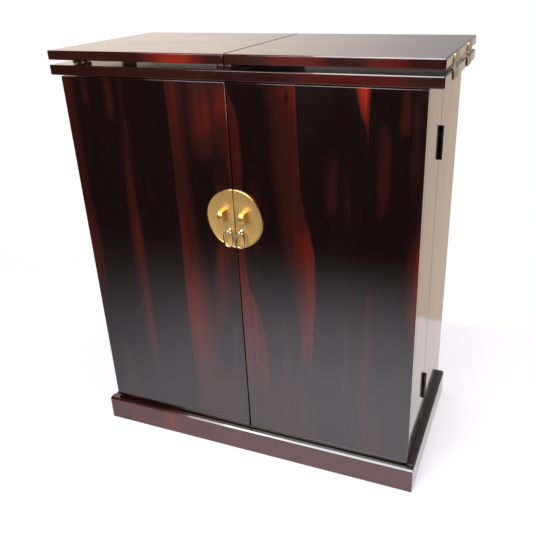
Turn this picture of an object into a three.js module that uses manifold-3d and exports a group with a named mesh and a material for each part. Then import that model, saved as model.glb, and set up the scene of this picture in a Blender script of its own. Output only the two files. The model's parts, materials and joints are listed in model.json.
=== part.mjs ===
// Flip-top bar cabinet: a lacquered floor-standing case whose two deep doors swing right round to
// lie beside it as wings, and whose two top leaves fold outwards to make one long counter.
// Millimetres, +Z up. X runs along the front, and the doors face -Y.
import * as THREE from "three";
import { mergeVertices } from "three/addons/utils/BufferGeometryUtils.js";
import Module from "manifold-3d";

const wasm = await Module();
wasm.setup();

// ---------------------------------------------------------------- driving dimensions
const COUNTER_WIDTH = 915;
const COUNTER_DEPTH = 432;
const COUNTER_THICKNESS = 23;
const COUNTER_UNDERSIDE = 983;
const COUNTER_OVERHANG = 28.5; // past the body at each end
const LEAF_THICKNESS = 21;
const LEAF_LIFT = 11; // air between the counter and a folded leaf
const LEAF_MEETING_GAP = 1.6;
const BATTEN_WIDTH = 16;

const DOOR_SETBACK = 1; // door face behind the counter's front edge
const DOOR_DEPTH = 165.5;
const SEAM_GAP = 1.6; // between the back of a door box and the front of the case
const DOOR_TOP_GAP = 2;
const DOOR_FOOT_GAP = 4;
const DOOR_MEETING_GAP = 3;

const PLINTH_HEIGHT = 69;
const PLINTH_PROJECTION = 17.5;
const PLINTH_BOARD = 20;
const BASE_BOARD = 18;

const SIDE_BOARD = 20;
const DOOR_FACE_BOARD = 18;
const DOOR_STILE_BOARD = 18;
const DOOR_END_BOARD = 16;
const BACK_BOARD = 9;
const SHELF_BOARD = 16;
const FIT = 0.3; // between pieces that touch

const CASE_SHELF_HEIGHT = 500; // from the base board to the shelf's underside
const DOOR_SHELF_HEIGHT = 430; // from the door's bottom board to its shelf's underside
const GALLERY_RAIL_WIDTH = 10;
const GALLERY_RAIL_DEPTH = 22;
const GALLERY_RAIL_LIFT = 75;
const GALLERY_RAIL_INSET = 8;

const STEM_RAIL_PITCH = 110;
const STEM_RAIL_FLANGE = 66;
const STEM_RAIL_FLANGE_THICKNESS = 8;
const STEM_RAIL_WEB = 14;
const STEM_RAIL_DROP = 34;
const STEM_RAIL_SETBACK = 12;
const STEM_RAIL_SIDES = ["left", "middle", "right"];

const BOTTLE_COUNT = 6;
const BOTTLE_RADIUS = 41;
const CRADLE_HEIGHT = 58;
const CRADLE_THICKNESS = 16;
const CRADLE_DIP = 26;
const CRADLE_SETBACK = 30;

const DOOR_HINGE_LENGTH = 75;
const DOOR_HINGE_FROM_HEAD = 141; // from the door's top to the upper hinge's middle
const DOOR_HINGE_FROM_FOOT = 122; // from the door's bottom to the lower hinge's middle
const DOOR_HINGE_OFFSET = 3; // hinge axis outside the cabinet's side
const DOOR_HINGE_REACH = 20.5; // from the axis to the plate's far edge
const DOOR_HINGE_BARREL = 4.25;
const DOOR_HINGE_CORNER = 0.5;

const LEAF_HINGE_LENGTH = 62;
const LEAF_HINGE_CENTRE = 96; // in front of and behind the middle of the counter
const LEAF_HINGE_BARREL = 4.2;
const LEAF_HINGE_CORNER = 7;
const LEAF_HINGE_MARGIN = 1.5; // from the plate to the board's face
const LEAF_HINGE_FOLD_GAP = 0.3; // from a plate's outer face to the hinge axis

const HINGE_PLATE = 2;
const HINGE_PIN = 1.75;
const HINGE_BORE = 2.05;
const HINGE_KNUCKLES = 5;
const KNUCKLE_GAP = 0.5;
const BARREL_CLEARANCE = 0.4;

const LOCK_PLATE_RADIUS = 72;
const LOCK_PLATE_HEIGHT = 673.5; // centre above the floor
const LOCK_PLATE_THICKNESS = 2;
const LOCK_PLATE_GAP = 2;
const LOCK_RIM_WIDTH = 3;
const LOCK_RIM_LIFT = 1.4;
const STUD_WIDTH = 13;
const STUD_HEIGHT = 24;
const STUD_DEPTH = 22;
const STUD_CORNER = 4;
const STUD_SPACING = 54; // between the two studs' middles
const STUD_RISE = 10; // above the lock plate's centre
const STUD_SLOT_WIDTH = 7;
const STUD_SLOT_HEIGHT = 13;

const PULL_GAP = 1.8; // between the two rings
const PULL_DROP = 29.5; // below the lock plate's centre
const PULL_BALL = 5.2;
const PULL_STANDOFF = 9; // ball centre above the plate
const PULL_NECK = 2.6;
const PULL_FOOT = 5.5;
const PULL_FOOT_THICKNESS = 1.4;
const PULL_FOOT_RISE = 0.6; // of the foot's top from its edge to the neck
const RING_WIRE = 1.8;
const RING_HALF_WIDTH = 12.3; // to the middle of the wire
const RING_HALF_HEIGHT = 18.8;
const RING_SQUARENESS = 2.3; // 2 is an ellipse
const RING_CLEARANCE = 0.45;

const OVERSHOOT = 1; // how far a cutting shape runs past what it cuts

const ROD_SIDES = 16;
const BORE_SIDES = 12;
const RING_SIDES = 28; // round the ring
const WIRE_SIDES = 8; // round its wire
const BALL_STEPS = 8;
const CORNER_STEPS = 4;
const STUD_CORNER_STEPS = 5;
const DIP_STEPS = 6;
const LOCK_PLATE_STEPS = 20;

// ---------------------------------------------------------------- derived places
const COUNTER_END = COUNTER_WIDTH / 2;
const BODY_SIDE = COUNTER_END - COUNTER_OVERHANG;
const COUNTER_FRONT = -COUNTER_DEPTH / 2;
const BODY_BACK = COUNTER_DEPTH / 2;
const COUNTER_TOP = COUNTER_UNDERSIDE + COUNTER_THICKNESS;
const LEAF_UNDERSIDE = COUNTER_TOP + LEAF_LIFT;
const LEAF_AXIS_HEIGHT = COUNTER_TOP + LEAF_LIFT / 2;
const DOOR_FACE = COUNTER_FRONT + DOOR_SETBACK;
const DOOR_BACK = DOOR_FACE + DOOR_DEPTH;
const CASE_FRONT = DOOR_BACK + SEAM_GAP;
const DOOR_AXIS = { x: BODY_SIDE + DOOR_HINGE_OFFSET, y: DOOR_BACK + SEAM_GAP / 2 };
const DOOR_FOOT = PLINTH_HEIGHT + DOOR_FOOT_GAP;
const DOOR_HEAD = COUNTER_UNDERSIDE - DOOR_TOP_GAP;
const DOOR_HINGE_CENTRES = {
  upper: DOOR_HEAD - DOOR_HINGE_FROM_HEAD,
  lower: DOOR_FOOT + DOOR_HINGE_FROM_FOOT,
};
const LEAF_HINGE_OFFSET = FIT + HINGE_PLATE + LEAF_HINGE_FOLD_GAP; // axis outside the counter's end
const PLINTH_SIDE = BODY_SIDE + PLINTH_PROJECTION;
const PLINTH_FRONT = DOOR_FACE - PLINTH_PROJECTION;
const LOCK_FACE = DOOR_FACE - FIT - LOCK_PLATE_THICKNESS;
const FRONTMOST = LOCK_FACE - FIT - STUD_DEPTH;
const PULL_SPACING = 2 * (RING_HALF_WIDTH + RING_WIRE) + PULL_GAP; // between the two posts
const CENTRING = -(FRONTMOST + BODY_BACK) / 2; // moves the origin to the middle of the overall box

// ---------------------------------------------------------------- finishes
const lacquer = () => new THREE.MeshStandardMaterial({ color: 0x2a0d0e, roughness: 0.18 });
const innerLacquer = () => new THREE.MeshStandardMaterial({ color: 0x4a1714, roughness: 0.32 });
const brass = () => new THREE.MeshStandardMaterial({ color: 0xb78a3c, roughness: 0.3, metalness: 1 });
const silveryBrass = () => new THREE.MeshStandardMaterial({ color: 0xc9bda4, roughness: 0.2, metalness: 1 });
const darkBronze = () => new THREE.MeshStandardMaterial({ color: 0x1c1412, roughness: 0.4, metalness: 1 });

// ---------------------------------------------------------------- shape helpers
function solid(geometry) {
  const bare = geometry.index ? geometry.toNonIndexed() : geometry.clone();
  bare.deleteAttribute("normal");
  bare.deleteAttribute("uv");
  const merged = mergeVertices(bare, 1e-4);
  return new wasm.Manifold(
    new wasm.Mesh({
      numProp: 3,
      vertProperties: merged.attributes.position.array,
      triVerts: new Uint32Array(merged.index.array),
    }),
  );
}

function geometryOf(manifold) {
  const mesh = manifold.getMesh();
  const geometry = new THREE.BufferGeometry();
  geometry.setAttribute("position", new THREE.BufferAttribute(mesh.vertProperties, 3));
  geometry.setIndex(new THREE.BufferAttribute(mesh.triVerts, 1));
  return geometry.toNonIndexed();
}

// A box between two values on each axis, given in either order.
function block(x, y, z) {
  const size = [x, y, z].map(([a, b]) => Math.abs(b - a));
  const middle = [x, y, z].map(([a, b]) => (a + b) / 2);
  return new THREE.BoxGeometry(...size).translate(...middle);
}

// A cylinder along Z between two heights.
function rod(radius, low, high, segments = ROD_SIDES) {
  const cylinder = new THREE.CylinderGeometry(radius, radius, high - low, segments);
  return cylinder.rotateX(Math.PI / 2).translate(0, 0, (low + high) / 2);
}

function named(name, geometry, material) {
  const mesh = new THREE.Mesh(geometry, material);
  mesh.name = name;
  return mesh;
}

// Turns a piece so that its own x, y and z lie along three given directions, and moves it.
function place(object, origin, xAxis, yAxis, zAxis) {
  const turn = new THREE.Matrix4().makeBasis(
    new THREE.Vector3(...xAxis),
    new THREE.Vector3(...yAxis),
    new THREE.Vector3(...zAxis),
  );
  object.quaternion.setFromRotationMatrix(turn);
  object.position.set(...origin);
  return object;
}

// ---------------------------------------------------------------- butt hinges
// Half a hinge in its own frame: the pin lies along Z, and the plate reaches along -X with its
// faces at two values of Y. The half with the pin owns the outer and middle knuckles.
function hingeHalf({ length, reach, faces, barrel, holdsPin, corner }) {
  const step = (length + KNUCKLE_GAP) / HINGE_KNUCKLES;
  const outline = new THREE.Shape();
  const end = length / 2;
  outline.moveTo(0, -end);
  outline.lineTo(0, end);
  outline.lineTo(-reach + corner, end);
  outline.absarc(-reach + corner, end - corner, corner, Math.PI / 2, Math.PI, false);
  outline.absarc(-reach + corner, -end + corner, corner, Math.PI, 1.5 * Math.PI, false);
  const plate = new THREE.ExtrudeGeometry(outline, {
    depth: faces[1] - faces[0],
    bevelEnabled: false,
    curveSegments: CORNER_STEPS,
  });
  plate.rotateX(Math.PI / 2).translate(0, faces[1], 0);
  let half = solid(plate);
  for (let knuckle = 0; knuckle < HINGE_KNUCKLES; knuckle += 1) {
    const low = -end + knuckle * step;
    const high = low + step - KNUCKLE_GAP;
    const own = (knuckle % 2 === 0) === holdsPin;
    half = own
      ? half.add(solid(rod(barrel, low, high)))
      : half.subtract(solid(rod(barrel + BARREL_CLEARANCE, low - KNUCKLE_GAP, high + KNUCKLE_GAP)));
  }
  return holdsPin
    ? half.add(solid(rod(HINGE_PIN, -end, end, BORE_SIDES)))
    : half.subtract(solid(rod(HINGE_BORE, -end - OVERSHOOT, end + OVERSHOOT, BORE_SIDES)));
}

function doorHinge(side, level) {
  const height = DOOR_HINGE_CENTRES[level];
  const near = SEAM_GAP / 2;
  const shared = {
    length: DOOR_HINGE_LENGTH,
    reach: DOOR_HINGE_REACH,
    barrel: DOOR_HINGE_BARREL,
    corner: DOOR_HINGE_CORNER,
  };
  const label = `${side.name}_door_hinge_${level}`;
  const caseHalf = hingeHalf({ ...shared, faces: [near, near + HINGE_PLATE], holdsPin: true });
  const doorHalf = hingeHalf({ ...shared, faces: [-near - HINGE_PLATE, -near], holdsPin: false });
  const origin = [side.sign * DOOR_AXIS.x, DOOR_AXIS.y, height];
  const outward = [side.sign, 0, 0];
  const along = [0, 0, side.sign];
  return {
    fixed: place(
      named(`${label}_case_plate`, geometryOf(caseHalf), darkBronze()),
      origin, outward, [0, 1, 0], along,
    ),
    moving: place(
      named(`${label}_door_plate`, geometryOf(doorHalf), darkBronze()),
      origin, outward, [0, 1, 0], along,
    ),
  };
}

function leafHinge(side, end, centre) {
  const shared = {
    length: LEAF_HINGE_LENGTH,
    barrel: LEAF_HINGE_BARREL,
    corner: LEAF_HINGE_CORNER,
    faces: [-LEAF_HINGE_FOLD_GAP - HINGE_PLATE, -LEAF_HINGE_FOLD_GAP],
  };
  const label = `${side.name}_leaf_hinge_${end}`;
  const counterReach = LEAF_LIFT / 2 + COUNTER_THICKNESS - LEAF_HINGE_MARGIN;
  const leafReach = LEAF_LIFT / 2 + LEAF_THICKNESS - LEAF_HINGE_MARGIN;
  const counterHalf = hingeHalf({ ...shared, reach: counterReach, holdsPin: true });
  const leafHalf = hingeHalf({ ...shared, reach: leafReach, holdsPin: false });
  const origin = [side.sign * (COUNTER_END + LEAF_HINGE_OFFSET), centre, LEAF_AXIS_HEIGHT];
  const outward = [side.sign, 0, 0];
  return {
    fixed: place(
      named(`${label}_counter_plate`, geometryOf(counterHalf), silveryBrass()),
      origin, [0, 0, 1], outward, [0, side.sign, 0],
    ),
    moving: place(
      named(`${label}_leaf_plate`, geometryOf(leafHalf), silveryBrass()),
      origin, [0, 0, -1], outward, [0, -side.sign, 0],
    ),
  };
}

// A side board with a pocket for each door hinge in one of its long edges.
function pocketedSide(side, geometry, edge, direction) {
  const outer = side.sign * (BODY_SIDE + OVERSHOOT);
  const inner = side.sign * (DOOR_AXIS.x - DOOR_HINGE_REACH - FIT);
  const reach = DOOR_HINGE_LENGTH / 2 + FIT;
  let board = solid(geometry);
  for (const height of Object.values(DOOR_HINGE_CENTRES)) {
    const levels = [height - reach, height + reach];
    const deep = edge + direction * (HINGE_PLATE + FIT);
    const pocket = block([outer, inner], [edge - direction * OVERSHOOT, deep], levels);
    const barrel = rod(DOOR_HINGE_BARREL + BARREL_CLEARANCE, ...levels);
    barrel.translate(side.sign * DOOR_AXIS.x, DOOR_AXIS.y, 0);
    board = board.subtract(solid(pocket)).subtract(solid(barrel));
  }
  return geometryOf(board);
}

// ---------------------------------------------------------------- the case
function plinth() {
  const group = new THREE.Group();
  const z = [0, PLINTH_HEIGHT - FIT];
  const inner = PLINTH_SIDE - PLINTH_BOARD;
  const front = [PLINTH_FRONT, PLINTH_FRONT + PLINTH_BOARD];
  const back = [BODY_BACK - PLINTH_BOARD, BODY_BACK];
  const between = [front[1] + FIT, BODY_BACK];
  group.add(named("plinth_front", block([-PLINTH_SIDE, PLINTH_SIDE], front, z), lacquer()));
  group.add(named("plinth_left", block([-PLINTH_SIDE, -inner], between, z), lacquer()));
  group.add(named("plinth_right", block([inner, PLINTH_SIDE], between, z), lacquer()));
  group.add(named("plinth_back", block([-inner + FIT, inner - FIT], back, z), lacquer()));
  const base = block(
    [-inner + FIT, inner - FIT],
    [front[1] + FIT, back[0] - FIT],
    [z[1] - BASE_BOARD, z[1]],
  );
  group.add(named("base_board", base, lacquer()));
  return group;
}

function caseWalls() {
  const group = new THREE.Group();
  const z = [PLINTH_HEIGHT, COUNTER_UNDERSIDE - FIT];
  for (const side of SIDES) {
    const x = [side.sign * (BODY_SIDE - SIDE_BOARD), side.sign * BODY_SIDE];
    const board = pocketedSide(side, block(x, [CASE_FRONT, BODY_BACK], z), CASE_FRONT, 1);
    group.add(named(`case_${side.name}_side`, board, lacquer()));
  }
  const inner = BODY_SIDE - SIDE_BOARD - FIT;
  const back = block([-inner, inner], [BODY_BACK - BACK_BOARD, BODY_BACK], z);
  group.add(named("case_back", back, lacquer()));
  const shelfLow = PLINTH_HEIGHT + CASE_SHELF_HEIGHT;
  const shelf = block(
    [-inner, inner],
    [CASE_FRONT, BODY_BACK - BACK_BOARD - FIT],
    [shelfLow, shelfLow + SHELF_BOARD],
  );
  group.add(named("case_shelf", shelf, innerLacquer()));
  return group;
}

function stemwareRails() {
  const group = new THREE.Group();
  const web = STEM_RAIL_WEB / 2;
  const flange = STEM_RAIL_FLANGE / 2;
  const profile = new THREE.Shape([
    new THREE.Vector2(-web, 0),
    new THREE.Vector2(-web, STEM_RAIL_FLANGE_THICKNESS - STEM_RAIL_DROP),
    new THREE.Vector2(-flange, STEM_RAIL_FLANGE_THICKNESS - STEM_RAIL_DROP),
    new THREE.Vector2(-flange, -STEM_RAIL_DROP),
    new THREE.Vector2(flange, -STEM_RAIL_DROP),
    new THREE.Vector2(flange, STEM_RAIL_FLANGE_THICKNESS - STEM_RAIL_DROP),
    new THREE.Vector2(web, STEM_RAIL_FLANGE_THICKNESS - STEM_RAIL_DROP),
    new THREE.Vector2(web, 0),
  ]);
  const front = CASE_FRONT + STEM_RAIL_SETBACK;
  const length = BODY_BACK - BACK_BOARD - FIT - front;
  STEM_RAIL_SIDES.forEach((label, index) => {
    const rail = new THREE.ExtrudeGeometry(profile, { depth: length, bevelEnabled: false });
    rail.rotateX(Math.PI / 2);
    const mesh = named(`stemware_rail_${label}`, rail, innerLacquer());
    const x = (index - (STEM_RAIL_SIDES.length - 1) / 2) * STEM_RAIL_PITCH;
    mesh.position.set(x, front + length, COUNTER_UNDERSIDE - FIT);
    group.add(mesh);
  });
  return group;
}

// Boards with a row of round dips that hold bottles lying on their sides.
function bottleCradles() {
  const group = new THREE.Group();
  const inner = BODY_SIDE - SIDE_BOARD - FIT;
  const pitch = (2 * inner) / BOTTLE_COUNT;
  const centreHeight = CRADLE_HEIGHT - CRADLE_DIP + BOTTLE_RADIUS;
  const spread = Math.acos((BOTTLE_RADIUS - CRADLE_DIP) / BOTTLE_RADIUS);
  const profile = new THREE.Shape();
  profile.moveTo(-inner, 0);
  profile.lineTo(inner, 0);
  profile.lineTo(inner, CRADLE_HEIGHT);
  for (let bottle = BOTTLE_COUNT - 1; bottle >= 0; bottle -= 1) {
    const x = -inner + (bottle + 0.5) * pitch;
    const start = -Math.PI / 2 + spread;
    profile.absarc(x, centreHeight, BOTTLE_RADIUS, start, -Math.PI / 2 - spread, true);
  }
  profile.lineTo(-inner, CRADLE_HEIGHT);
  const places = {
    front: CASE_FRONT + CRADLE_SETBACK,
    back: BODY_BACK - BACK_BOARD - CRADLE_SETBACK - CRADLE_THICKNESS,
  };
  for (const [label, y] of Object.entries(places)) {
    const cradle = new THREE.ExtrudeGeometry(profile, {
      depth: CRADLE_THICKNESS,
      bevelEnabled: false,
      curveSegments: DIP_STEPS,
    });
    cradle.rotateX(Math.PI / 2);
    const mesh = named(`bottle_cradle_${label}`, cradle, innerLacquer());
    mesh.position.set(0, y + CRADLE_THICKNESS, PLINTH_HEIGHT);
    group.add(mesh);
  }
  return group;
}

function counter() {
  const x = [-COUNTER_END, COUNTER_END];
  const y = [COUNTER_FRONT, BODY_BACK];
  return named("counter_top", block(x, y, [COUNTER_UNDERSIDE, COUNTER_TOP]), lacquer());
}

// ---------------------------------------------------------------- the folding leaves
function leaf(side) {
  const group = new THREE.Group();
  const y = [COUNTER_FRONT, BODY_BACK];
  const meeting = (side.sign * LEAF_MEETING_GAP) / 2;
  const z = [LEAF_UNDERSIDE, LEAF_UNDERSIDE + LEAF_THICKNESS];
  const board = block([meeting, side.sign * COUNTER_END], y, z);
  group.add(named(`${side.name}_leaf`, board, lacquer()));
  const batten = block(
    [meeting, meeting + side.sign * BATTEN_WIDTH],
    y,
    [COUNTER_TOP + FIT, LEAF_UNDERSIDE - FIT],
  );
  group.add(named(`${side.name}_leaf_batten`, batten, lacquer()));
  return group;
}

// ---------------------------------------------------------------- the doors
function doorBox(side) {
  const group = new THREE.Group();
  const add = (name, geometry, material) => {
    group.add(named(`${side.name}_door_${name}`, geometry, material));
  };
  const outer = side.sign * BODY_SIDE;
  const meeting = (side.sign * DOOR_MEETING_GAP) / 2;
  const face = [DOOR_FACE, DOOR_FACE + DOOR_FACE_BOARD];
  const inside = [face[1] + FIT, DOOR_BACK];
  add("front_panel", block([meeting, outer], face, [DOOR_FOOT, DOOR_HEAD]), lacquer());
  const outerWall = [outer - side.sign * SIDE_BOARD, outer];
  const wall = block(outerWall, inside, [DOOR_FOOT, DOOR_HEAD]);
  add("outer_side", pocketedSide(side, wall, DOOR_BACK, -1), lacquer());
  const stile = [meeting, meeting + side.sign * DOOR_STILE_BOARD];
  add("meeting_side", block(stile, inside, [DOOR_FOOT, DOOR_HEAD]), lacquer());
  const span = [stile[1] + side.sign * FIT, outerWall[0] - side.sign * FIT];
  const floor = DOOR_FOOT + DOOR_END_BOARD;
  add("bottom", block(span, inside, [DOOR_FOOT, floor]), innerLacquer());
  add("top", block(span, inside, [DOOR_HEAD - DOOR_END_BOARD, DOOR_HEAD]), innerLacquer());
  const shelf = floor + DOOR_SHELF_HEIGHT;
  add("shelf", block(span, inside, [shelf, shelf + SHELF_BOARD]), innerLacquer());
  const railY = [DOOR_BACK - GALLERY_RAIL_INSET - GALLERY_RAIL_WIDTH, DOOR_BACK - GALLERY_RAIL_INSET];
  for (const [label, level] of [["lower", floor], ["upper", shelf + SHELF_BOARD]]) {
    const low = level + GALLERY_RAIL_LIFT;
    add(`gallery_rail_${label}`, block(span, railY, [low, low + GALLERY_RAIL_DEPTH]), innerLacquer());
  }
  return group;
}

// Half of the round lock plate: a thin half disc with a raised rim along its curve.
function lockPlate(side) {
  const flat = (side.sign * LOCK_PLATE_GAP) / 2;
  const start = side.sign > 0 ? -Math.PI / 2 : Math.PI / 2;
  const half = new THREE.Shape();
  half.absarc(0, 0, LOCK_PLATE_RADIUS, start, start + Math.PI, false);
  const rim = new THREE.Shape();
  rim.absarc(0, 0, LOCK_PLATE_RADIUS, start, start + Math.PI, false);
  rim.absarc(0, 0, LOCK_PLATE_RADIUS - LOCK_RIM_WIDTH, start + Math.PI, start, true);
  const options = { bevelEnabled: false, curveSegments: LOCK_PLATE_STEPS };
  const disc = new THREE.ExtrudeGeometry(half, { ...options, depth: LOCK_PLATE_THICKNESS });
  const edge = new THREE.ExtrudeGeometry(rim, { ...options, depth: LOCK_PLATE_THICKNESS + LOCK_RIM_LIFT });
  const reach = LOCK_PLATE_RADIUS + OVERSHOOT;
  const height = LOCK_PLATE_THICKNESS + LOCK_RIM_LIFT + OVERSHOOT;
  const strip = block([-flat, flat], [-reach, reach], [-OVERSHOOT, height]);
  const plate = solid(disc).add(solid(edge)).subtract(solid(strip));
  const mesh = named(`${side.name}_lock_plate`, geometryOf(plate), brass());
  return place(mesh, [0, DOOR_FACE - FIT, LOCK_PLATE_HEIGHT], [1, 0, 0], [0, 0, 1], [0, -1, 0]);
}

// The block that a lock bar slides through, cut from a side profile with a slot in it.
function lockStud(side) {
  const top = STUD_HEIGHT / 2;
  const profile = new THREE.Shape();
  profile.moveTo(0, -top);
  profile.lineTo(STUD_DEPTH - STUD_CORNER, -top);
  profile.absarc(STUD_DEPTH - STUD_CORNER, -top + STUD_CORNER, STUD_CORNER, -Math.PI / 2, 0, false);
  profile.absarc(STUD_DEPTH - STUD_CORNER, top - STUD_CORNER, STUD_CORNER, 0, Math.PI / 2, false);
  profile.lineTo(0, top);
  const slot = new THREE.Path();
  const radius = STUD_SLOT_WIDTH / 2;
  const straight = STUD_SLOT_HEIGHT / 2 - radius;
  const middle = STUD_DEPTH / 2 + 1;
  slot.absarc(middle, straight, radius, 0, Math.PI, false);
  slot.absarc(middle, -straight, radius, Math.PI, 2 * Math.PI, false);
  profile.holes.push(slot);
  const stud = new THREE.ExtrudeGeometry(profile, {
    depth: STUD_WIDTH,
    bevelEnabled: false,
    curveSegments: STUD_CORNER_STEPS,
  });
  stud.translate(0, 0, -STUD_WIDTH / 2);
  const mesh = named(`${side.name}_lock_stud`, stud, brass());
  const origin = [(side.sign * STUD_SPACING) / 2, LOCK_FACE - FIT, LOCK_PLATE_HEIGHT + STUD_RISE];
  return place(mesh, origin, [0, -1, 0], [0, 0, 1], [-1, 0, 0]);
}

// Half the height of the ring's curve where it passes through the post's ball.
function ringSag() {
  const share = PULL_BALL / RING_HALF_WIDTH;
  const drop = 1 - (1 - share ** RING_SQUARENESS) ** (1 / RING_SQUARENESS);
  return (RING_HALF_HEIGHT * drop) / 2;
}

function pullPost(side) {
  const points = [new THREE.Vector2(0, 0), new THREE.Vector2(PULL_FOOT, 0)];
  points.push(new THREE.Vector2(PULL_FOOT, PULL_FOOT_THICKNESS));
  points.push(new THREE.Vector2(PULL_NECK, PULL_FOOT_THICKNESS + PULL_FOOT_RISE));
  const first = Math.asin(PULL_NECK / PULL_BALL);
  for (let step = 0; step <= BALL_STEPS; step += 1) {
    const angle = first + ((Math.PI - first) * step) / BALL_STEPS;
    const radius = step === BALL_STEPS ? 0 : PULL_BALL * Math.sin(angle);
    points.push(new THREE.Vector2(radius, PULL_STANDOFF - PULL_BALL * Math.cos(angle)));
  }
  const turned = new THREE.LatheGeometry(points, ROD_SIDES).rotateX(Math.PI / 2);
  const boreEnd = PULL_BALL + OVERSHOOT;
  const bore = rod(RING_WIRE + ringSag() + RING_CLEARANCE, -boreEnd, boreEnd, BORE_SIDES);
  bore.rotateY(Math.PI / 2).translate(0, 0, PULL_STANDOFF);
  const post = solid(turned).subtract(solid(bore));
  const mesh = named(`${side.name}_pull_post`, geometryOf(post), silveryBrass());
  const origin = [(side.sign * PULL_SPACING) / 2, LOCK_FACE - FIT, LOCK_PLATE_HEIGHT - PULL_DROP];
  return place(mesh, origin, [1, 0, 0], [0, 0, 1], [0, -1, 0]);
}

// A round wire bent to a tall oval: a ring whose middle line is laid along a squared ellipse.
function pullRing(side) {
  const tube = 0.25; // radius of the wire of the round ring of radius 1 that is reshaped
  const ring = new THREE.TorusGeometry(1, tube, WIRE_SIDES, RING_SIDES);
  const vertices = ring.attributes.position;
  const power = 2 / RING_SQUARENESS;
  const middleLine = (angle) => {
    const [c, s] = [Math.cos(angle), Math.sin(angle)];
    return new THREE.Vector2(
      RING_HALF_WIDTH * Math.sign(c) * Math.abs(c) ** power,
      RING_HALF_HEIGHT * Math.sign(s) * Math.abs(s) ** power,
    );
  };
  for (let index = 0; index < vertices.count; index += 1) {
    const [x, y, z] = [vertices.getX(index), vertices.getY(index), vertices.getZ(index)];
    const angle = Math.atan2(y, x);
    const point = middleLine(angle);
    const ahead = middleLine(angle + 1e-3).sub(middleLine(angle - 1e-3)).normalize();
    const out = ((Math.hypot(x, y) - 1) * RING_WIRE) / tube;
    vertices.setXYZ(index, point.x + ahead.y * out, point.y - ahead.x * out, (z * RING_WIRE) / tube);
  }
  const mesh = named(`${side.name}_pull_ring`, geometryOf(solid(ring)), silveryBrass());
  const axisHeight = LOCK_PLATE_HEIGHT - PULL_DROP;
  const origin = [
    (side.sign * PULL_SPACING) / 2,
    LOCK_FACE - FIT - PULL_STANDOFF,
    axisHeight - RING_HALF_HEIGHT + ringSag(),
  ];
  return place(mesh, origin, [1, 0, 0], [0, 0, 1], [0, -1, 0]);
}

// ---------------------------------------------------------------- assembly
const SIDES = [
  { name: "left", sign: -1 },
  { name: "right", sign: 1 },
];

const group = new THREE.Group();
group.add(plinth(), caseWalls(), stemwareRails(), bottleCradles(), counter());
for (const side of SIDES) {
  const door = new THREE.Group();
  door.add(doorBox(side), lockPlate(side), lockStud(side), pullPost(side), pullRing(side));
  const topLeaf = leaf(side);
  for (const level of Object.keys(DOOR_HINGE_CENTRES)) {
    const hinge = doorHinge(side, level);
    group.add(hinge.fixed);
    door.add(hinge.moving);
  }
  for (const [end, centre] of [["front", -LEAF_HINGE_CENTRE], ["back", LEAF_HINGE_CENTRE]]) {
    const hinge = leafHinge(side, end, centre);
    group.add(hinge.fixed);
    topLeaf.add(hinge.moving);
  }
  group.add(door, topLeaf);
}
group.position.y = CENTRING;

export default group;
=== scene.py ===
"""Flip-top bar cabinet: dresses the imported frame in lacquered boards, brass and bronze hardware.

Metres, +Z up. X runs along the front, and the doors face -Y.
"""

import json
import math
from collections import namedtuple

import bmesh
import bpy
from mathutils import Euler, Matrix, Vector


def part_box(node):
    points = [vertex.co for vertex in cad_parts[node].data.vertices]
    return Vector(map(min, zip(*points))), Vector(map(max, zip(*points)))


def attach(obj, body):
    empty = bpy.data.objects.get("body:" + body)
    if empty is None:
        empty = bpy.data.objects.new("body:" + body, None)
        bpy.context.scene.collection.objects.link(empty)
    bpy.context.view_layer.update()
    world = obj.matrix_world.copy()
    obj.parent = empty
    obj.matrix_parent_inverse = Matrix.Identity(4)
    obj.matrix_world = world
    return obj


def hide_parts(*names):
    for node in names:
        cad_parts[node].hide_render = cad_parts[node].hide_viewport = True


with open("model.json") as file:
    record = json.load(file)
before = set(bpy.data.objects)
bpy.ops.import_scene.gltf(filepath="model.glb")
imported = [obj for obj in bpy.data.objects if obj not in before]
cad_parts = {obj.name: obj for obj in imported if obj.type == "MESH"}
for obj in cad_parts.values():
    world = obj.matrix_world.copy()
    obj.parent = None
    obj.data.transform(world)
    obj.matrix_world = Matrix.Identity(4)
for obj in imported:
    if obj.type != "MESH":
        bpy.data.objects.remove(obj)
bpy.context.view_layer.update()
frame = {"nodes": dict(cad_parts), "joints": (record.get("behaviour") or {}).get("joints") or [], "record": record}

bl_info = {
    "name": "Flip-top Bar Cabinet",
    "version": (1, 0, 0),
    "blender": (4, 5, 0),
    "location": "3D View > Sidebar > Cabinet",
    "description": "Builds the boards, hardware and stage of a flip-top bar cabinet",
    "category": "Object",
}

SIDES = {"left": -1, "right": 1}
MM = 0.001

# ---------------------------------------------------------------- read from the frame
NODE_BODY = {
    node: body for body, nodes in frame["record"]["behaviour"]["bodies"].items() for node in nodes}
JOINT_PLACE = {joint["name"]: Vector(joint["pos_m"]) for joint in frame["joints"]}
PLINTH_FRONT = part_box("plinth_front")[0].y
LEAF_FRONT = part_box("right_leaf")[0].y


# ---------------------------------------------------------------- what a user would change
def colour(name, description, default):
    return bpy.props.FloatVectorProperty(
        name=name, description=description, default=default, size=3, subtype="COLOR", min=0, max=1)


def width(name, description, default, low, high):
    """A small size, given with its limits in millimetres."""
    return bpy.props.FloatProperty(
        name=name, description=description, default=default * MM, min=low * MM, max=high * MM, unit="LENGTH")


def turn(name, description, degrees):
    return bpy.props.FloatProperty(
        name=name, description=description, default=math.radians(degrees), subtype="ANGLE")


def power(name, description, watts):
    return bpy.props.FloatProperty(
        name=name, description=f"{description}, in watts", default=watts, min=0, unit="POWER")


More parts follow.
